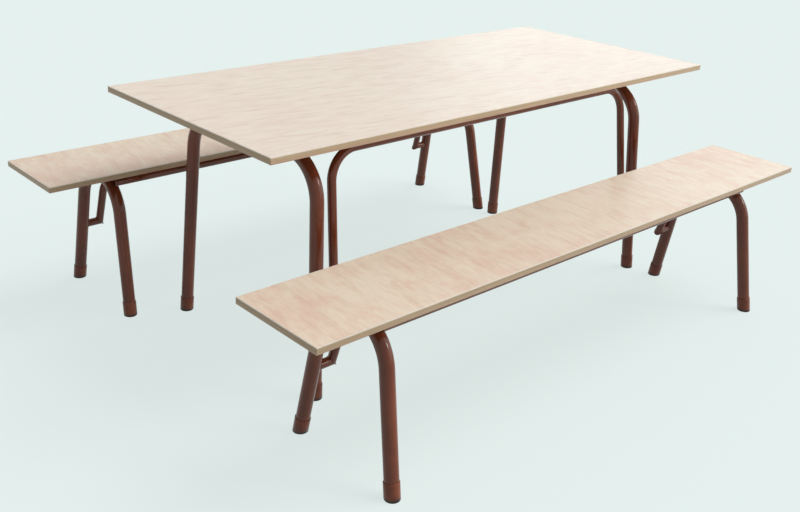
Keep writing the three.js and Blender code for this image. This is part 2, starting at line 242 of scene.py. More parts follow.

# %% [markdown]
# ## Edge bands and the underside
# A band of thin tan edging is glued round each board. It is browner towards the top and pinker below,
# and its fine lines run level. Its top corner is paler where it is trimmed, and a painted highlight there
# stands in for the light it catches, as a pale line. Underneath, the board has a plain backing sheet,
# which needs no figure, only a little mottling so that it doesn't look like card.

# %% Edge band and backing
BOARD_THICKNESS = 0.018


def edging(name, underside):
    finish = Finish(name)
    lines = finish.noise((6.0, 6.0, 700.0), detail=3.0, roughness=0.6)
    clouds = finish.noise((9.0, 9.0, 40.0), detail=3.0)
    height = (finish.z - underside) / BOARD_THICKNESS
    tan = finish.mix(lines.between(0.35, 0.7), srgb(220, 196, 161), srgb(200, 173, 137))
    pink = finish.mix(lines.between(0.35, 0.7), srgb(228, 199, 170), srgb(210, 177, 147))
    layered = finish.mix((height + clouds * 0.2).between(0.38, 0.72), pink, tan)
    # Painted highlight: a pale line at the top of the band, partly the trimmed edge and partly painted light.
    trim_and_painted_highlight = finish.mix(height.between(0.82, 0.90), layered, srgb(248, 239, 226))
    finish.set(Base_Color=trim_and_painted_highlight, Roughness=lines * 0.15 + 0.36)
    finish.bump(lines, 0.0001, 0.4)
    return finish.material


def backing_sheet():
    finish = Finish("backing_sheet")
    clouds = finish.noise((14.0, 14.0, 1.0), detail=5.0, roughness=0.65)
    fibres = finish.noise((60.0, 420.0, 1.0), detail=3.0)
    shade = clouds * 0.6 + fibres * 0.4
    finish.set(Base_Color=finish.mix(shade.between(0.35, 0.65), srgb(196, 176, 152), srgb(178, 156, 131)))
    finish.set(Roughness=fibres * 0.15 + 0.5)
    finish.bump(fibres, 0.0001, 0.4)
    return finish.material


backing = backing_sheet()
print("backing:", backing.name)

# %% [markdown]
# ## Brown paint on steel
# The frames are sprayed a glossy reddish brown. Real spray paint has a faint orange-peel surface, is a
# little uneven in tone, and gets dull and scuffed where shoes meet it, near the floor. The caps on the
# feet are brown plastic, duller than the paint, and painted shade darkens them at the sole.

# %% Paint, plastic and zinc
SCUFF_TOP = 0.20
SOLE_SHADE = 0.015


def brown_paint():
    finish = Finish("brown_paint")
    clouds = finish.noise((9.0, 9.0, 6.0), detail=4.0, roughness=0.6)
    peel = finish.noise((520.0, 520.0, 520.0), detail=2.0)
    scratches = finish.noise((90.0, 90.0, 420.0), detail=4.0, roughness=0.7)
    low = 1 - finish.z.between(0.03, SCUFF_TOP)
    scuffs = scratches.between(0.58, 0.70) * (low * 0.6 + 0.06)
    coat = finish.mix(clouds.between(0.3, 0.7), srgb(124, 58, 32), srgb(147, 75, 45))
    finish.set(Base_Color=finish.mix(scuffs * 0.5, coat, srgb(150, 108, 84)))
    finish.set(Roughness=scuffs * 0.25 + clouds * 0.1 + 0.12, Specular_IOR_Level=0.4)
    finish.bump(peel * 0.7 + scratches * 0.3, 0.00006, 0.5)
    return finish.material


def cap_plastic():
    finish = Finish("cap_plastic")
    clouds = finish.noise((30.0, 30.0, 30.0), detail=4.0)
    scratches = finish.noise((160.0, 160.0, 600.0), detail=4.0, roughness=0.7)
    # Painted shade: the cap is darkened to near black just above the floor, where it meets the floor.
    sole = 1 - (finish.z + clouds * 0.006).between(0.007, SOLE_SHADE)
    plastic = finish.mix(clouds.between(0.35, 0.65), srgb(124, 59, 34), srgb(145, 75, 46))
    worn = finish.mix(scratches.between(0.58, 0.72) * 0.4, plastic, srgb(140, 100, 78))
    finish.set(Base_Color=finish.mix(sole * 0.9, worn, srgb(34, 24, 19)))
    finish.set(Roughness=scratches * 0.2 + 0.2, Specular_IOR_Level=0.4)
    finish.bump(scratches, 0.0001, 0.4)
    return finish.material


def zinc():
    finish = Finish("zinc")
    spangle = finish.noise((400.0, 400.0, 400.0), detail=2.0)
    finish.set(Base_Color=finish.mix(spangle.between(0.3, 0.7), srgb(168, 168, 162), srgb(196, 196, 190)))
    finish.set(Metallic=1.0, Roughness=spangle * 0.15 + 0.3)
    return finish.material


paint = brown_paint()
plastic = cap_plastic()
bright_zinc = zinc()
print("finishes:", paint.name, plastic.name, bright_zinc.name)

# %% [markdown]
# ## Where the legs stand
# Table and benches share one plan. The legs lean out evenly, both along and across the board, so a
# point on a leg's axis follows from its height alone. The brace stands beside the two legs of one long
# side: it is level with them at its stubs, and leans in a little towards its top. The boards' own boxes
# come from the frame, and the tube sizes are the real ones.

# %% Tube sizes
LEG_DIAMETER = 0.038
LEG_WALL = 0.002
BRACE_DIAMETER = 0.025
BRACE_WALL = 0.0015
KNEE_RADIUS = 0.120
BRACE_BEND_RADIUS = 0.085
BRACE_TO_LEG = 0.028
BRACE_SET_BACK = 0.020
CLEARANCE = 0.0003
print("tubes:", LEG_DIAMETER, "m for the legs and", BRACE_DIAMETER, "m for the braces")

# %% Items
FRONT, BACK = -1, 1
SIDES = {FRONT: "front", BACK: "back"}
ENDS = {-1: "left", 1: "right"}
ALONG = Vector((1, 0, 0))
ACROSS = Vector((0, 1, 0))
UP = Vector((0, 0, 1))


class Item:
    """The table or one bench: its board's box, and how its frame is laid out under it."""

    def __init__(self, name, board, end_inset, side_inset, spread, carrier, brace_side, brace_drop,
                 stub_height):
        self.name = name
        self.board = f"{name}_{board}"
        left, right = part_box(f"{name}_edge_left")[0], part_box(f"{name}_edge_right")[1]
        front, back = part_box(f"{name}_edge_front")[0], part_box(f"{name}_edge_back")[1]
        self.length = right.x - left.x
        self.width = back.y - front.y
        self.middle = Vector(((left.x + right.x) / 2, (front.y + back.y) / 2, 0))
        self.underside = left.z
        self.end_inset, self.side_inset, self.spread = end_inset, side_inset, spread
        self.bar_height = self.underside - carrier - LEG_DIAMETER / 2
        self.brace_side = brace_side
        self.brace_height = self.underside - brace_drop
        self.stub_height = stub_height

    def leg(self, end, side, height):
        """A point on a leg's axis."""
        lean = (self.underside - height) / self.underside
        return self.middle + Vector((
            end * (self.length / 2 - self.end_inset + self.spread[0] * lean),
            side * (self.width / 2 - self.side_inset + self.spread[1] * lean),
            height,
        ))

    def leg_direction(self, end, side):
        return (self.leg(end, side, self.underside) - self.leg(end, side, 0)).normalized()

    def upright(self, end, height):
        """A point on the axis of a brace's upright."""
        spacing = LEG_DIAMETER / 2 + BRACE_TO_LEG + BRACE_DIAMETER / 2
        rise = (height - self.stub_height) / (self.brace_height - self.stub_height)
        beside = self.leg(end, self.brace_side, height) - ALONG * end * spacing
        return beside - ACROSS * self.brace_side * BRACE_SET_BACK * rise

    def upright_direction(self, end):
        return (self.upright(end, self.brace_height) - self.upright(end, self.stub_height)).normalized()


table = Item("table", "top", end_inset=0.220, side_inset=0.110, spread=(0.042, 0.048), carrier=0.0406,
             brace_side=FRONT, brace_drop=0.0505, stub_height=0.330)
benches = [
    Item(name, "seat", end_inset=0.230, side_inset=0.050, spread=(0.027, 0.080), carrier=0.0086,
         brace_side=BACK, brace_drop=0.0535, stub_height=0.200)
    for name in ("front_bench", "back_bench")
]
items = [table, *benches]
for item in items:
    print(item.name, "board", round(item.length, 3), "x", round(item.width, 3), "m")

# %% [markdown]
# ## Making a piece
# Each finished mesh becomes one object at the origin. It rides on the body that carries it, takes the
# materials it is given, and hides the solids it stands for.

# %% Piece helpers
SMOOTH_ANGLE = math.radians(40)


def mesh_object(name, mesh):
    made = bpy.data.objects.new(name, mesh)
    bpy.context.scene.collection.objects.link(made)
    return made


def add_piece(name, mesh, item, materials=(), nodes=()):
    for material in materials:
        mesh.materials.append(material)
    mesh.polygons.foreach_set("use_smooth", [True] * len(mesh.polygons))
    mesh.set_sharp_from_angle(angle=SMOOTH_ANGLE)
    made = mesh_object(name, mesh)
    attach(made, item.name)
    if nodes:
        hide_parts(*nodes)
    return made


def mesh_from(shape, name):
    mesh = bpy.data.meshes.new(name)
    shape.to_mesh(mesh)
    shape.free()
    return mesh


print("edges over", round(math.degrees(SMOOTH_ANGLE)), "degrees stay sharp")

# %% [markdown]
# ## Boards
# A board is a core with a sheet on each face, and an edge band on each side. The core is a box whose
# long edges are only just broken. A band is thin and has its two outer edges rounded over, and the long
# bands cover the ends of the short ones, so the joint shows only from the ends.

# %% Boards and edge bands
CORE_BREAK = 0.0003
BAND_ROUND = 0.0012
BAND_SEGMENTS = 3
FACING_DOWN = -0.9
TOLERANCE = 1e-6
EDGES = {"front": (1, -1), "back": (1, 1), "left": (0, -1), "right": (0, 1)}  # axis and direction


def box_between(low, high):
    shape = bmesh.new()
    bmesh.ops.create_cube(shape, size=1)
    size = high - low
    bmesh.ops.scale(shape, vec=size, verts=shape.verts)
    bmesh.ops.translate(shape, vec=(low + high) / 2, verts=shape.verts)
    return shape


def add_board(item, face):
    low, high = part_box(item.board)
    shape = box_between(low, high)
    bmesh.ops.bevel(shape, geom=shape.edges[:], offset=CORE_BREAK, segments=1, affect="EDGES")
    shape.normal_update()
    for polygon in shape.faces:
        polygon.material_index = 1 if polygon.normal.z < FACING_DOWN else 0
    mesh = mesh_from(shape, item.board)
    add_piece(f"{item.name}_laminate_board", mesh, item, (face, backing), (item.board,))


def add_edge_bands(item):
    band_finish = edging(f"{item.name}_edging", item.underside)
    for edge, (axis, direction) in EDGES.items():
        node = f"{item.name}_edge_{edge}"
        low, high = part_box(node)
        shape = box_between(low, high)
        face = (high if direction > 0 else low)[axis]
        outer = [line for line in shape.edges
                 if all(abs(corner.co[axis] - face) < TOLERANCE for corner in line.verts)]
        if edge in ("left", "right"):
            outer = [line for line in outer if abs(line.verts[0].co.z - line.verts[1].co.z) < TOLERANCE]
        bmesh.ops.bevel(shape, geom=outer, offset=BAND_ROUND, segments=BAND_SEGMENTS, profile=0.5,
                        affect="EDGES")
        mesh = mesh_from(shape, node)
        add_piece(f"{item.name}_band_{edge}", mesh, item, (band_finish,), (node,))


for item in items:
    add_board(item, table_laminate if item is table else bench_laminate)
    add_edge_bands(item)
print("boards:", len(items), "with edge bands:", len(EDGES) * len(items))

# %% [markdown]
# ## Bent tube
# A leg frame is one tube, bent twice. Geometry Nodes suit it: a line of a few corners becomes a curve,
# its corners are filleted to the bend radius, and a circle is swept along it. The same tree makes the
# frames, braces, rails and stubs. The wall is added to the swept skin afterwards, so that open ends
# show a real tube.

# %% A tree of geometry nodes
def evaluated(carrier):
    """The plain mesh that an object's modifiers make. The carrier is then removed."""
    depsgraph = bpy.context.evaluated_depsgraph_get()
    mesh = bpy.data.meshes.new_from_object(carrier.evaluated_get(depsgraph))
    carrier.modifiers.clear()
    bpy.data.objects.remove(carrier)
    return mesh


class Tree:
    """A Geometry Nodes tree with named inputs for its sizes."""

    def __init__(self, name, **inputs):
        self.group = bpy.data.node_groups.new(name, "GeometryNodeTree")
        self.sockets = {}
        self.group.interface.new_socket("Geometry", in_out="INPUT", socket_type="NodeSocketGeometry")
        for label, kind in inputs.items():
            socket = self.group.interface.new_socket(label, in_out="INPUT", socket_type=f"NodeSocket{kind}")
            self.sockets[label] = socket.identifier
        self.group.interface.new_socket("Geometry", in_out="OUTPUT", socket_type="NodeSocketGeometry")
        self.inputs = self.group.nodes.new("NodeGroupInput")

    def __getitem__(self, label):
        return self.inputs.outputs[label]

    def add(self, kind, settings, **sockets):
        node = self.group.nodes.new(kind)
        for key, setting in settings.items():
            setattr(node, key, setting)
        for key, value in sockets.items():
            socket = node.inputs[key.replace("_", " ")]
            if isinstance(value, bpy.types.NodeSocket):
                self.group.links.new(value, socket)
            else:
                socket.default_value = value
        return node.outputs[0]

    def end(self, geometry, material):
        whole = self.add("GeometryNodeRealizeInstances", {}, Geometry=geometry)
        painted = self.add("GeometryNodeSetMaterial", {}, Geometry=whole, Material=material)
        output = self.group.nodes.new("NodeGroupOutput")
        self.group.links.new(painted, output.inputs[0])

    def grow(self, mesh, **values):
        """Runs the tree on a mesh and gives the plain mesh that it makes."""
        carrier = mesh_object(self.group.name, mesh)
        modifier = carrier.modifiers.new(self.group.name, "NODES")
        modifier.node_group = self.group
        for label, value in values.items():
            modifier[self.sockets[label]] = value
        return evaluated(carrier)


print("tree class:", Tree.__name__)

# %% The tree that sweeps a tube
def bent_tube_tree():
    tree = Tree("bent_tube", Radius="Float", Bend_Radius="Float", Bend_Steps="Int", Sides="Int",
                Material="Material")
    line = tree.add("GeometryNodeMeshToCurve", {}, Mesh=tree["Geometry"])
    route = tree.add("GeometryNodeFilletCurve", {"mode": "POLY"}, Curve=line, Count=tree["Bend_Steps"],
                     Radius=tree["Bend_Radius"], Limit_Radius=True)
    circle = tree.add("GeometryNodeCurvePrimitiveCircle", {}, Resolution=tree["Sides"], Radius=tree["Radius"])
    skin = tree.add("GeometryNodeCurveToMesh", {}, Curve=route, Profile_Curve=circle)
    tree.end(skin, tree["Material"])
    return tree


bent_tube = bent_tube_tree()
print("tree:", bent_tube.group.name, "inputs", list(bent_tube.sockets))

# %% Tube skins
BEND_STEPS = 24
LEG_SIDES = 48
BRACE_SIDES = 36


def tube_skin(corners, diameter, bend_radius, sides):
    line = bpy.data.meshes.new("line")
    line.from_pydata(corners, [(i, i + 1) for i in range(len(corners) - 1)], [])
    mesh = bent_tube.grow(line, Radius=diameter / 2, Bend_Radius=bend_radius, Bend_Steps=BEND_STEPS,
                          Sides=sides, Material=paint)
    shape = bmesh.new()
    shape.from_mesh(mesh)
    bmesh.ops.remove_doubles(shape, verts=shape.verts, dist=TOLERANCE)
    bmesh.ops.recalc_face_normals(shape, faces=shape.faces)
    shape.to_mesh(mesh)
    shape.free()
    return mesh


def with_wall(mesh, thickness):
    """Gives an open skin a wall on its inner side."""
    carrier = mesh_object("wall", mesh)
    wall = carrier.modifiers.new("wall", "SOLIDIFY")
    wall.thickness = thickness
    wall.offset = -1
    wall.use_even_offset = True
    return evaluated(carrier)


print("sides:", LEG_SIDES, "round a leg,", BRACE_SIDES, "round a brace")

# %% [markdown]
# ## Leg frames
# Each frame is an upside-down U across one end: up one leg, round a wide knee, across under the board
# and down the other leg. The tube ends inside the caps on its feet.

# %% Leg frames
FOOT_WALL = 0.0015
FOOT_HEIGHT = 0.045
FOOT_SOLE = 0.003
FOOT_RADIUS = LEG_DIAMETER / 2 + CLEARANCE + FOOT_WALL


def foot_seat(item, end, side):
    """How far up the leg's axis the tube seats in its cap."""
    lean = item.leg_direction(end, side).angle(UP)
    return FOOT_SOLE + FOOT_RADIUS * math.tan(lean)


def tube_end(item, end, side):
    reach = foot_seat(item, end, side) + CLEARANCE
    return item.leg(end, side, 0) + item.leg_direction(end, side) * reach


def add_leg_frame(item, end):
    corners = [tube_end(item, end, FRONT), item.leg(end, FRONT, item.bar_height),
               item.leg(end, BACK, item.bar_height), tube_end(item, end, BACK)]
    skin = tube_skin(corners, LEG_DIAMETER, KNEE_RADIUS, LEG_SIDES)
    node = f"{item.name}_leg_frame_{ENDS[end]}"
    mesh = with_wall(skin, LEG_WALL)
    add_piece(f"{item.name}_bent_leg_{ENDS[end]}", mesh, item, (), (node,))


for item in items:
    for end in ENDS:
        add_leg_frame(item, end)
print("leg frames:", len(ENDS) * len(items))

# %% [markdown]
# ## Caps on the feet
# A cap is turned about the leg's axis: a sole, a thin wall round the tube and a rounded lip. The legs
# lean, so the sole is cut level with the floor. A small bevel there is the worn edge that catches the
# light.

# %% A turned shape
LIP_ROUND = 0.0008
LIP_STEPS = 4


def cap_outline(seat):
    """Radius and height along the axis, from the middle of the sole round to the middle of the seat."""
    bore = LEG_DIAMETER / 2 + CLEARANCE
    outline = [(0.0, -seat), (FOOT_RADIUS, -seat)]
    for step in range(LIP_STEPS + 1):
        angle = math.pi / 2 * step / LIP_STEPS
        outline.append((FOOT_RADIUS - LIP_ROUND * (1 - math.cos(angle)),
                        FOOT_HEIGHT - LIP_ROUND * (1 - math.sin(angle))))
    outline += [(bore, FOOT_HEIGHT), (bore, seat), (0.0, seat)]
    return outline


def ring_round_axis(shape, radius, height, sides):
    """Vertices in a ring round the Z axis. On the axis itself they are all one vertex."""
    if radius == 0:
        return [shape.verts.new((0, 0, height))] * sides
    angles = [math.tau * i / sides for i in range(sides)]
    return [shape.verts.new((radius * math.cos(angle), radius * math.sin(angle), height)) for angle in angles]


def bridge(shape, lower, upper):
    """Faces from one ring of vertices to the next."""
    for i in range(len(lower)):
        j = (i + 1) % len(lower)
        corners = (lower[i], lower[j], upper[j], upper[i])
        shape.faces.new(list(dict.fromkeys(corners)))


def turned(outline, sides):
    """A profile spun round the Z axis. It starts and ends on the axis."""
    shape = bmesh.new()
    rings = [ring_round_axis(shape, radius, height, sides) for radius, height in outline]
    for lower, upper in zip(rings, rings[1:]):
        bridge(shape, lower, upper)
    return shape


print("cap outline:", len(cap_outline(FOOT_SOLE)), "points")

# %% Foot caps
CAP_SIDES = 48
SOLE_BEVEL = 0.0015
SOLE_SEGMENTS = 3


def add_foot(item, end, side):
    direction = item.leg_direction(end, side)
    shape = turned(cap_outline(foot_seat(item, end, side)), CAP_SIDES)
    turn = UP.rotation_difference(direction).to_matrix().to_4x4()
    bmesh.ops.transform(shape, matrix=Matrix.Translation(item.leg(end, side, 0)) @ turn, verts=shape.verts)
    everything = shape.verts[:] + shape.edges[:] + shape.faces[:]
    cut = bmesh.ops.bisect_plane(shape, geom=everything, plane_co=(0, 0, 0), plane_no=(0, 0, -1),
                                 clear_outer=True)
    rim = [line for line in cut["geom_cut"] if isinstance(line, bmesh.types.BMEdge)]
    bmesh.ops.contextual_create(shape, geom=rim)
    bmesh.ops.recalc_face_normals(shape, faces=shape.faces)
    rim = [line for line in shape.edges if all(abs(corner.co.z) < TOLERANCE for corner in line.verts)]
    bmesh.ops.bevel(shape, geom=rim, offset=SOLE_BEVEL, segments=SOLE_SEGMENTS, profile=0.5, affect="EDGES")
    node = f"{item.name}_foot_{SIDES[side]}_{ENDS[end]}"
    mesh = mesh_from(shape, node)
    add_piece(f"{item.name}_cap_{SIDES[side]}_{ENDS[end]}", mesh, item, (plastic,), (node,))


for item in items:
    for end in ENDS:
        for side in SIDES:
            add_foot(item, end, side)
print("caps:", len(ENDS) * len(SIDES) * len(items))

# %% [markdown]
# ## Braces and stubs
# A brace is a thinner tube, bent to an upside-down U between the two legs of one side. Its lower ends
# turn a sharp corner into short stubs that meet the legs. The corner is a mitre: every point of the end
# ring slides along its tube to the plane that halves the angle. At the leg the ring slides until it
# meets the leg's round wall, which is how a real tube is coped.

# %% Mitres and copes
def end_ring(mesh, point):
    """The vertices of the open end nearest to a point."""
    ordered = sorted(mesh.vertices, key=lambda corner: (corner.co - point).length)
    return [corner for corner in ordered[:BRACE_SIDES] if (corner.co - point).length < BRACE_DIAMETER]


def mitre_normal(item, end):
    return (item.upright_direction(end) - ALONG * end).normalized()


def step_to_plane(point, direction, plane, normal):
    """The way from a point to a plane, along a direction. The plane goes through a given point."""
    return direction * ((plane - point).dot(normal) / direction.dot(normal))


def slide_to_mitre(mesh, item, end, direction, kept_side):
    corner = item.upright(end, item.stub_height)
    normal = mitre_normal(item, end)
    plane = corner + normal * kept_side * CLEARANCE / 2
    for vertex in end_ring(mesh, corner):
        vertex.co += step_to_plane(vertex.co, direction, plane, normal)


def slide_to_leg(mesh, item, end, direction):
    axis_point = item.leg(end, item.brace_side, item.stub_height)
    axis = item.leg_direction(end, item.brace_side)
    reach = LEG_DIAMETER / 2 + CLEARANCE
    across = direction - axis * direction.dot(axis)
    for vertex in end_ring(mesh, axis_point):
        offset = vertex.co - axis_point
        offset -= axis * offset.dot(axis)
        along, square = offset.dot(across), across.dot(across)
        step = (-along - math.sqrt(along ** 2 - square * (offset.dot(offset) - reach ** 2))) / square
        vertex.co += direction * step


corner_angle = table.upright_direction(1).angle(ALONG)
print("corner of the table's brace:", round(math.degrees(corner_angle), 1), "degrees, halved by the mitre")

# %% Braces and stubs
def add_brace(item):
    corners = [item.upright(-1, item.stub_height), item.upright(-1, item.brace_height),
               item.upright(1, item.brace_height), item.upright(1, item.stub_height)]
    skin = tube_skin(corners, BRACE_DIAMETER, BRACE_BEND_RADIUS, BRACE_SIDES)
    for end in ENDS:
        slide_to_mitre(skin, item, end, item.upright_direction(end), 1)
    mesh = with_wall(skin, BRACE_WALL)
    add_piece(f"{item.name}_bent_brace", mesh, item, (), (f"{item.name}_brace",))


def add_stub(item, end):
    corners = [item.upright(end, item.stub_height), item.leg(end, item.brace_side, item.stub_height)]
    skin = tube_skin(corners, BRACE_DIAMETER, 0.0, BRACE_SIDES)
    slide_to_mitre(skin, item, end, ALONG * end, -1)
    slide_to_leg(skin, item, end, ALONG * end)
    node = f"{item.name}_brace_stub_{ENDS[end]}"
    mesh = with_wall(skin, BRACE_WALL)
    add_piece(f"{item.name}_stub_{ENDS[end]}", mesh, item, (), (node,))


for item in items:
    add_brace(item)
    for end in ENDS:
        add_stub(item, end)
print("braces:", len(items), "stubs:", len(ENDS) * len(items))

# %% [markdown]
# ## Rails and bearers
# Under the table, two rectangular tubes on edge carry the board on the leg frames. Under a bench, a flat
# bar lies across the crown of each leg frame, and two round rails lie on the shoulders of both frames,
# close to the long edges. All of them take their boxes from the frame.

# %% Table rails
RAIL_CORNER = 0.0025
RAIL_WALL = 0.002
CORNER_STEPS = 5


def rounded_rectangle(half_width, half_depth, radius):
    points = []
    for turn, (right, up) in enumerate(((1, 1), (-1, 1), (-1, -1), (1, -1))):
        centre = Vector((right * (half_width - radius), up * (half_depth - radius)))
        for step in range(CORNER_STEPS + 1):
            angle = math.pi / 2 * (turn + step / CORNER_STEPS)
            points.append(centre + Vector((math.cos(angle), math.sin(angle))) * radius)
    return points


def add_table_rail(side):
    node = f"table_rail_{SIDES[side]}"
    low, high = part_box(node)
    middle = (low + high) / 2
    section = rounded_rectangle((high.y - low.y) / 2, (high.z - low.z) / 2, RAIL_CORNER)
    shape = bmesh.new()
    rings = [[shape.verts.new((x, middle.y + point.x, middle.z + point.y)) for point in section]
             for x in (low.x, high.x)]
    bridge(shape, *rings)
    bmesh.ops.recalc_face_normals(shape, faces=shape.faces)
    mesh = with_wall(mesh_from(shape, node), RAIL_WALL)
    add_piece(f"table_box_rail_{SIDES[side]}", mesh, table, (paint,), (node,))


for side in SIDES:
    add_table_rail(side)
print("table rails:", len(SIDES))

# %% Bench rails and bearers
BEARER_BREAK = 0.0008
BEARER_SEGMENTS = 2
BEARER_STEPS = 16


def add_bench_rail(item, side):
    node = f"{item.name}_rail_{SIDES[side]}"
    low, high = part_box(node)
    middle = (low + high) / 2
    corners = [Vector((low.x, middle.y, middle.z)), Vector((high.x, middle.y, middle.z))]
    skin = tube_skin(corners, BRACE_DIAMETER, 0.0, BRACE_SIDES)
    mesh = with_wall(skin, BRACE_WALL)
    add_piece(f"{item.name}_round_rail_{SIDES[side]}", mesh, item, (), (node,))


def add_bearer(item, end):
    node = f"{item.name}_bearer_{ENDS[end]}"
    low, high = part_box(node)
    middle = (low + high) / 2
    radius = (high.x - low.x) / 2
    reach = (high.y - low.y) / 2 - radius
    shape = bmesh.new()
    outline = []
    for half in (0, 1):
        for step in range(BEARER_STEPS + 1):
            angle = math.pi * (half + step / BEARER_STEPS)
            centre_y = middle.y + (reach if half == 0 else -reach)
            outline.append(shape.verts.new((middle.x + radius * math.cos(angle),
                                            centre_y + radius * math.sin(angle), low.z)))
    plate = shape.faces.new(outline)
    raised = bmesh.ops.extrude_face_region(shape, geom=[plate])["geom"]
    tops = [corner for corner in raised if isinstance(corner, bmesh.types.BMVert)]
    bmesh.ops.translate(shape, vec=(0, 0, high.z - low.z), verts=tops)
    bmesh.ops.recalc_face_normals(shape, faces=shape.faces)
    rims = [line for line in shape.edges
            if abs(line.verts[0].co.z - line.verts[1].co.z) < TOLERANCE and len(line.link_faces) == 2]
    bmesh.ops.bevel(shape, geom=rims, offset=BEARER_BREAK, segments=BEARER_SEGMENTS, profile=0.5,
                    affect="EDGES")
    mesh = mesh_from(shape, node)
    add_piece(f"{item.name}_flat_bar_{ENDS[end]}", mesh, item, (paint,), (node,))


for item in benches:
    for side in SIDES:
        add_bench_rail(item, side)
    for end in ENDS:
        add_bearer(item, end)
print("bench rails:", len(SIDES) * len(benches), "bearers:", len(ENDS) * len(benches))

# %% [markdown]
# ## Weld beads
# The frames are welded before they are painted. A bead is a small rope of metal, a little uneven. A
# second tree sweeps a small circle along each seam and lets a fixed noise change its thickness, so the
# beads look laid by hand. All beads of one item are one mesh.

# %% The tree that lays a bead
BEAD_RADIUS = 0.0018
BEAD_STEP = 0.0025
BEAD_SIDES = 8
BEAD_THIN, BEAD_THICK = 0.7, 1.25
RIPPLE_SCALE = 320.0
RIPPLE_LOW, RIPPLE_HIGH = 0.3, 0.7


def weld_tree():
    tree = Tree("weld_bead", Radius="Float", Step="Float", Sides="Int", Ripple="Float", Material="Material")
    line = tree.add("GeometryNodeMeshToCurve", {}, Mesh=tree["Geometry"])
    even = tree.add("GeometryNodeResampleCurve", {"mode": "LENGTH"}, Curve=line, Length=tree["Step"])
    place = tree.add("GeometryNodeInputPosition", {})
    ripple = tree.add("ShaderNodeTexNoise", {}, Vector=place, Scale=tree["Ripple"], Detail=1.0)
    size = tree.add("ShaderNodeMapRange", {}, Value=ripple, From_Min=RIPPLE_LOW, From_Max=RIPPLE_HIGH,
                    To_Min=BEAD_THIN, To_Max=BEAD_THICK)
    uneven = tree.add("GeometryNodeSetCurveRadius", {}, Curve=even, Radius=size)
    circle = tree.add("GeometryNodeCurvePrimitiveCircle", {}, Resolution=tree["Sides"], Radius=tree["Radius"])
    bead = tree.add("GeometryNodeCurveToMesh", {}, Curve=uneven, Profile_Curve=circle, Scale=size,
                    Fill_Caps=True)
    tree.end(bead, tree["Material"])
    return tree


weld_bead = weld_tree()
print("tree:", weld_bead.group.name, "inputs", list(weld_bead.sockets))

# %% Seams round the stubs
def ring_points(start, direction, slide):
    """Points where a brace-sized ring lies once each has slid along its tube."""
    across = direction.cross(UP).normalized()
    over = across.cross(direction).normalized()
    points = []
    for i in range(BRACE_SIDES):
        angle = math.tau * i / BRACE_SIDES
        rim = start + (across * math.cos(angle) + over * math.sin(angle)) * BRACE_DIAMETER / 2
        points.append(slide(rim))
    return points


def cope_seam(item, end):
    axis_point = item.leg(end, item.brace_side, item.stub_height)
    axis = item.leg_direction(end, item.brace_side)
    reach = LEG_DIAMETER / 2

    def slide(rim):
        offset = rim - axis_point
        offset -= axis * offset.dot(axis)
        side = offset - ALONG * offset.dot(ALONG)
        depth = math.sqrt(max(reach ** 2 - side.dot(side), 0.0))
        return Vector((axis_point.x + (axis.x / axis.z) * (rim.z - axis_point.z) - end * depth, rim.y, rim.z))

    return ring_points(axis_point, ALONG * end, slide)


def mitre_seam(item, end):
    corner = item.upright(end, item.stub_height)
    normal = mitre_normal(item, end)
    direction = ALONG * end
    return ring_points(corner, direction,
                       lambda rim: rim + step_to_plane(rim, direction, corner, normal))


print("points in a seam:", len(mitre_seam(table, 1)))

# %% Stitches along the rails and bearers
TABLE_RAIL_STITCH = 0.006
CROWN_STITCH = 0.016
CROWN_SEAM = 0.0065
RAIL_STITCH = 0.006
RAIL_SEAM = 0.0055
RAIL_STITCH_INSET = 0.003
SEAM_DEPTH = 0.0006


def stitch(middle, along, half_length):
    return [middle - along * half_length, middle + along * half_length]


def table_stitches():
    """Beads on both sides of each rail, where it lies on a leg frame."""
    for side in SIDES:
        low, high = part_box(f"table_rail_{SIDES[side]}")
        for end in ENDS:
            bar = table.leg(end, side, table.bar_height)
            for y in (low.y, high.y):
                yield stitch(Vector((bar.x, y, low.z)), ALONG, TABLE_RAIL_STITCH)


def bend_centre(item, end, side):
    """The middle of a knee's bend."""
    inward = ACROSS * -side
    turn = item.leg_direction(end, side).angle(inward)
    knee = item.leg(end, side, item.bar_height)
    return knee + inward * KNEE_RADIUS * math.tan(turn / 2) - UP * KNEE_RADIUS


def bench_stitches(item):
    """Beads on the leg frames: at the crown, under the bearer, and on the shoulders, beside each rail."""
    for end in ENDS:
        low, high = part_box(f"{item.name}_bearer_{ENDS[end]}")
        middle = (low + high) / 2
        for left_right in (-1, 1):
            seam = Vector((middle.x + left_right * CROWN_SEAM, middle.y, low.z - SEAM_DEPTH))
            yield stitch(seam, ACROSS, CROWN_STITCH)
        for side in SIDES:
            rail_low, rail_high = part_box(f"{item.name}_rail_{SIDES[side]}")
            rail = (rail_low + rail_high) / 2
            centre = bend_centre(item, end, side)
            outward = Vector((0, rail.y - centre.y, rail.z - centre.z)).normalized()
            seat = centre + outward * (KNEE_RADIUS + LEG_DIAMETER / 2) - ALONG * end * RAIL_STITCH_INSET
            for front_back in (-1, 1):
                yield stitch(seat + outward.cross(ALONG) * front_back * RAIL_SEAM, ALONG, RAIL_STITCH)


print("stitches:", len(list(table_stitches())), "under the table,", len(list(bench_stitches(benches[0]))),
      "under each bench")

# %% Beads
def joined(loops):
    """One mesh of lines from several runs of points. A run of more than two points closes on itself."""
    points, edges = [], []
    for loop in loops:
        first = len(points)
        points += loop
        edges += [(first + i, first + i + 1) for i in range(len(loop) - 1)]
        if len(loop) > 2:
            edges.append((first + len(loop) - 1, first))
    mesh = bpy.data.meshes.new("seams")
    mesh.from_pydata(points, edges, [])
    return mesh


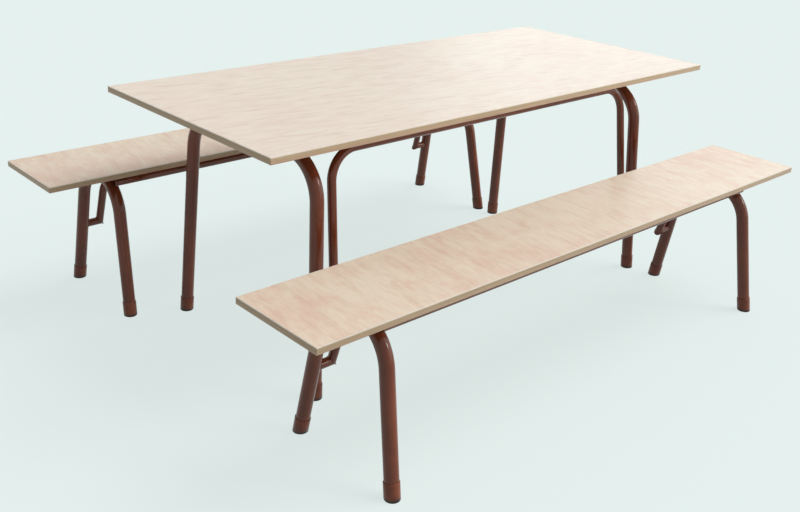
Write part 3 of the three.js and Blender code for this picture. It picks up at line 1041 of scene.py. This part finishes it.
for item in items:
    seams = [seam(item, end) for end in ENDS for seam in (cope_seam, mitre_seam)]
    seams += table_stitches() if item is table else bench_stitches(item)
    bead = weld_bead.grow(joined(seams), Radius=BEAD_RADIUS, Step=BEAD_STEP, Sides=BEAD_SIDES,
                          Ripple=RIPPLE_SCALE, Material=paint)
    add_piece(f"{item.name}_weld_beads", bead, item)
    print(item.name, "seams welded:", len(seams))

# %% [markdown]
# ## Screws
# Pan-head screws go up into the board, through the table's rails and the benches' flat bars. One head
# is modelled with its cross-shaped recess, and a third tree sets a copy on every point of a row, each
# turned a little differently, as a fitter leaves them.

# %% One screw head
SCREW_RADIUS = 0.0045
SCREW_DEPTH = 0.0026
SCREW_SIDES = 20
HEAD_STEPS = 4
HEAD_FLAT = 0.82
RECESS_ARM = 0.0024
RECESS_HALF_WIDTH = 0.0006
RECESS_DEPTH = 0.0011
RECESS_TAPER = 0.6


def screw_head():
    """A pan head that hangs down from z = 0, with a cross cut into its face."""
    shape = bmesh.new()
    profile = [(SCREW_RADIUS, 0.0)]
    for step in range(HEAD_STEPS):
        angle = math.pi / 2 * (step + 1) / HEAD_STEPS
        radius = SCREW_RADIUS * (HEAD_FLAT + (1 - HEAD_FLAT) * math.cos(angle))
        profile.append((radius, -SCREW_DEPTH * math.sin(angle)))
    rings = [ring_round_axis(shape, radius, height, SCREW_SIDES) for radius, height in profile]
    for upper, lower in zip(rings, rings[1:]):
        bridge(shape, upper, lower)
    shape.faces.new(rings[0])
    arm, half = RECESS_ARM, RECESS_HALF_WIDTH
    cross = [(arm, half), (half, half), (half, arm), (-half, arm), (-half, half), (-arm, half),
             (-arm, -half), (-half, -half), (-half, -arm), (half, -arm), (half, -half), (arm, -half)]
    rim = [shape.verts.new((x, y, -SCREW_DEPTH)) for x, y in cross]
    recess = [shape.verts.new((x * RECESS_TAPER, y * RECESS_TAPER, RECESS_DEPTH - SCREW_DEPTH))
              for x, y in cross]
    rim_edges = [shape.edges.new(pair) for pair in zip(rim, rim[1:] + rim[:1])]
    face = rings[-1]
    face_edges = [shape.edges.get(pair) for pair in zip(face, face[1:] + face[:1])]
    bmesh.ops.triangle_fill(shape, edges=rim_edges + face_edges, use_beauty=True)
    bridge(shape, rim, recess)
    shape.faces.new(recess)
    bmesh.ops.recalc_face_normals(shape, faces=shape.faces)
    return mesh_from(shape, "screw_head")


head = mesh_object("screw_head", screw_head())
print("screw head:", len(head.data.polygons), "faces")

# %% Screws under the boards
SCREWS_PER_RAIL = 5
ROW_END_INSET = 0.16
BAR_SCREW_ALONG = 0.012
BAR_SCREW_ACROSS = 0.086


def screw_row_tree(head):
    tree = Tree("screw_row", Seed="Int", Material="Material")
    source = tree.add("GeometryNodeObjectInfo", {}, Object=head)
    turn = tree.add("FunctionNodeRandomValue", {"data_type": "FLOAT_VECTOR"}, Min=(0.0, 0.0, 0.0),
                    Max=(0.0, 0.0, math.tau), Seed=tree["Seed"])
    points = tree.add("GeometryNodeMeshToPoints", {}, Mesh=tree["Geometry"])
    copies = tree.add("GeometryNodeInstanceOnPoints", {}, Points=points,
                      Instance=source.node.outputs["Geometry"], Rotation=turn)
    tree.end(copies, tree["Material"])
    return tree


def rail_screws():
    for side in SIDES:
        low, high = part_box(f"table_rail_{SIDES[side]}")
        step = (high.x - low.x - 2 * ROW_END_INSET) / (SCREWS_PER_RAIL - 1)
        for i in range(SCREWS_PER_RAIL):
            yield Vector((low.x + ROW_END_INSET + i * step, (low.y + high.y) / 2, low.z))


def bar_screws(item):
    for end in ENDS:
        low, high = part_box(f"{item.name}_bearer_{ENDS[end]}")
        middle = (low + high) / 2
        for along in (-BAR_SCREW_ALONG, BAR_SCREW_ALONG):
            for across in (-BAR_SCREW_ACROSS, BAR_SCREW_ACROSS):
                yield Vector((middle.x + along, middle.y + across, low.z))


screw_row = screw_row_tree(head)
for number, item in enumerate(items):
    places = list(rail_screws() if item is table else bar_screws(item))
    row = bpy.data.meshes.new("screw_places")
    row.from_pydata(places, [], [])
    screws = screw_row.grow(row, Seed=number, Material=bright_zinc)
    add_piece(f"{item.name}_screws", screws, item)
    print(item.name, "screws:", len(places))
bpy.data.objects.remove(head)

# %% [markdown]
# ## Floor and light
# The set stands on a plain pale floor with a cool mint cast, in front of a backdrop of the same colour.
# What is seen of them, directly or in a reflection, is mostly their own light, so that they stay pale,
# and the floor still takes shadows. All lamps are soft and far away. One from high on the right lights
# the boards, a low one from the same side models the tubes, a small one gives the bends their
# highlights, and a wide one behind on the right lays a sheen along the boards. The sky that lights the
# set is dim and warm on the left. The levels are set so that a colour renders about as it is written.

# %% Floor
FLOOR_HALF_SIZE = 30.0
FLOOR_COLOUR = srgb(231, 243, 241)
FLOOR_BOUNCE = srgb(150, 158, 156)
FLOOR_OWN_LIGHT = 0.8


def floor_finish():
    finish = Finish("floor")
    looked_at = finish.looked_at()
    finish.set(Base_Color=finish.mix(looked_at, FLOOR_BOUNCE, FLOOR_COLOUR))
    finish.set(Roughness=0.9, Specular_IOR_Level=0.0)
    glow = finish.add_node("ShaderNodeEmission", {}, FLOOR_COLOUR)
    finish.show(looked_at * FLOOR_OWN_LIGHT, finish.shader, glow)
    return finish.material


reach = FLOOR_HALF_SIZE
floor_mesh = bpy.data.meshes.new("floor")
floor_mesh.from_pydata([(-reach, -reach, 0), (reach, -reach, 0), (reach, reach, 0), (-reach, reach, 0)],
                       [], [(0, 1, 2, 3)])
floor_mesh.materials.append(floor_finish())
floor = mesh_object("floor", floor_mesh)
print("floor:", 2 * FLOOR_HALF_SIZE, "m square")

# %% Lamps and sky
LAMP_DISTANCE = 12.0
SKY_STRENGTH = 0.55
SKY_COLOUR = (0.94, 0.97, 1.0, 1.0)
DIM_SKY_COLOUR = (0.40, 0.34, 0.31, 1.0)
BRIGHT_SIDE = (0.88, 0.42, 0.22)
DIM_FROM, DIM_TO = 0.4, -0.5
LAMPS = {
    "key": dict(towards=(5.4, -2.5, 10.2), strength=1.25, width=32, colour=(1.0, 0.97, 0.94)),
    "side": dict(towards=(4.8, -3.6, 2.0), strength=0.9, width=70, colour=(1.0, 0.95, 0.90)),
    "highlight": dict(towards=(3.5, -3.9, 2.7), strength=0.32, width=9, colour=(1.0, 0.96, 0.93)),
    "sheen": dict(towards=BRIGHT_SIDE, strength=0.5, width=40, colour=(0.96, 0.98, 1.0)),
}


def add_lamp(name, towards, strength, width, colour):
    """A far lamp: the direction it stands in, and how many degrees wide it looks from the set."""
    data = bpy.data.lights.new(name, "SUN")
    data.energy = strength
    data.angle = math.radians(width)
    data.color = colour
    lamp = bpy.data.objects.new(name, data)
    lamp.location = Vector(towards).normalized() * LAMP_DISTANCE
    lamp.rotation_euler = Vector(towards).to_track_quat("Z", "Y").to_euler()
    bpy.context.scene.collection.objects.link(lamp)


def paint_sky(world):
    """A sky that is dim and warm on one side, and the pale backdrop wherever it is looked at."""
    sky = Network(world.node_tree)
    direction = sky.add("ShaderNodeTexCoord", {}, output="Generated")
    facing = sky.add("ShaderNodeVectorMath", {"operation": "DOT_PRODUCT"}, direction,
                     Vector(BRIGHT_SIDE).normalized(), output="Value")
    tint = sky.mix(facing.between(DIM_TO, DIM_FROM), DIM_SKY_COLOUR, SKY_COLOUR)
    light = sky.nodes["Background"]
    sky.feed(light.inputs["Color"], tint)
    sky.feed(light.inputs["Strength"], SKY_STRENGTH)
    backdrop = sky.add_node("ShaderNodeBackground", {}, FLOOR_COLOUR)
    sky.show(sky.looked_at(), light, backdrop)


for name, lamp in LAMPS.items():
    add_lamp(name, **lamp)
world = bpy.data.worlds.new("sky")
bpy.context.scene.world = world
world.use_nodes = True
paint_sky(world)
bpy.context.scene.view_settings.view_transform = "Standard"
print("light:", ", ".join(LAMPS), "and a sky of", SKY_STRENGTH)
